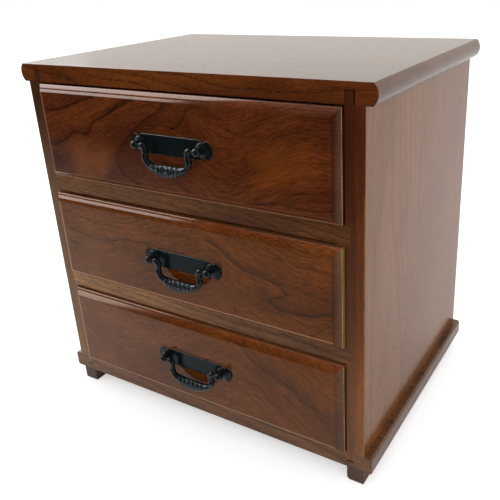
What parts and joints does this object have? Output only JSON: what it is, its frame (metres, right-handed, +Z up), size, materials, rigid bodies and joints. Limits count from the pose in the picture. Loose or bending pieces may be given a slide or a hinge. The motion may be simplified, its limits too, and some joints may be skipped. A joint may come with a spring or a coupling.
{
  "type": "three-drawer table chest",
  "caption": "Small wooden table chest with bevelled drawer fronts, overhanging rounded top and base, low skids, and dark cast bail pulls that swing.",
  "frame": {"origin": "on the floor, under the middle of the whole object's width and depth, pulls included", "axes": "+X to the right seen from the front, +Y from the drawer fronts to the back, +Z up"},
  "size_m": [0.4, 0.3032, 0.385],
  "materials": {
    "case_wood": "satin lacquer over zelkova",
    "front_wood": "satin lacquer over figured zelkova",
    "inner_wood": "planed, unfinished",
    "iron": "blackened, satin",
    "steel": "bright"
  },
  "bodies": {
    "case": {"top_board": "case_wood", "base_board": "case_wood", "left_side": "case_wood", "right_side": "case_wood", "back_panel": "inner_wood", "back_nails": "steel", "left_skid": "case_wood", "right_skid": "case_wood", "skid_screws": "steel", "upper_rail": "case_wood", "upper_dust_panel": "inner_wood", "upper_right_runner": "inner_wood", "upper_left_runner": "inner_wood", "lower_rail": "case_wood", "lower_dust_panel": "inner_wood", "lower_right_runner": "inner_wood", "lower_left_runner": "inner_wood", "top_drawer_stops": "inner_wood", "middle_drawer_stops": "inner_wood", "bottom_drawer_stops": "inner_wood"},
    "top_drawer": {"top_drawer_front": "front_wood", "top_drawer_right_side": "inner_wood", "top_drawer_left_side": "inner_wood", "top_drawer_back": "inner_wood", "top_drawer_bottom": "inner_wood", "top_pull_plate": "iron", "top_pull_posts": "iron", "top_pull_nuts": "steel"},
    "top_bail": {"top_pull_bail": "iron"},
    "middle_drawer": {"middle_drawer_front": "front_wood", "middle_drawer_right_side": "inner_wood", "middle_drawer_left_side": "inner_wood", "middle_drawer_back": "inner_wood", "middle_drawer_bottom": "inner_wood", "middle_pull_plate": "iron", "middle_pull_posts": "iron", "middle_pull_nuts": "steel"},
    "middle_bail": {"middle_pull_bail": "iron"},
    "bottom_drawer": {"bottom_drawer_front": "front_wood", "bottom_drawer_right_side": "inner_wood", "bottom_drawer_left_side": "inner_wood", "bottom_drawer_back": "inner_wood", "bottom_drawer_bottom": "inner_wood", "bottom_pull_plate": "iron", "bottom_pull_posts": "iron", "bottom_pull_nuts": "steel"},
    "bottom_bail": {"bottom_pull_bail": "iron"}
  },
  "joints": [
    {"name": "top_drawer_slide", "type": "slide", "parent": "case", "child": "top_drawer", "axis": [0, -1, 0], "range_m": [0, 0.18]},
    {"name": "top_bail_pivot", "type": "hinge", "parent": "top_drawer", "child": "top_bail", "pos_m": [0.0019, -0.14535, 0.3194], "axis": [-1, 0, 0], "range_deg": [-6, 180]},
    {"name": "middle_drawer_slide", "type": "slide", "parent": "case", "child": "middle_drawer", "axis": [0, -1, 0], "range_m": [-0.0018, 0.1782]},
    {"name": "middle_bail_pivot", "type": "hinge", "parent": "middle_drawer", "child": "middle_bail", "pos_m": [0.0019, -0.14715, 0.2024], "axis": [-1, 0, 0], "range_deg": [-6, 180]},
    {"name": "bottom_drawer_slide", "type": "slide", "parent": "case", "child": "bottom_drawer", "axis": [0, -1, 0], "range_m": [0, 0.18]},
    {"name": "bottom_bail_pivot", "type": "hinge", "parent": "bottom_drawer", "child": "bottom_bail", "pos_m": [0.0019, -0.14535, 0.0854], "axis": [-1, 0, 0], "range_deg": [-6, 180]}
  ]
}
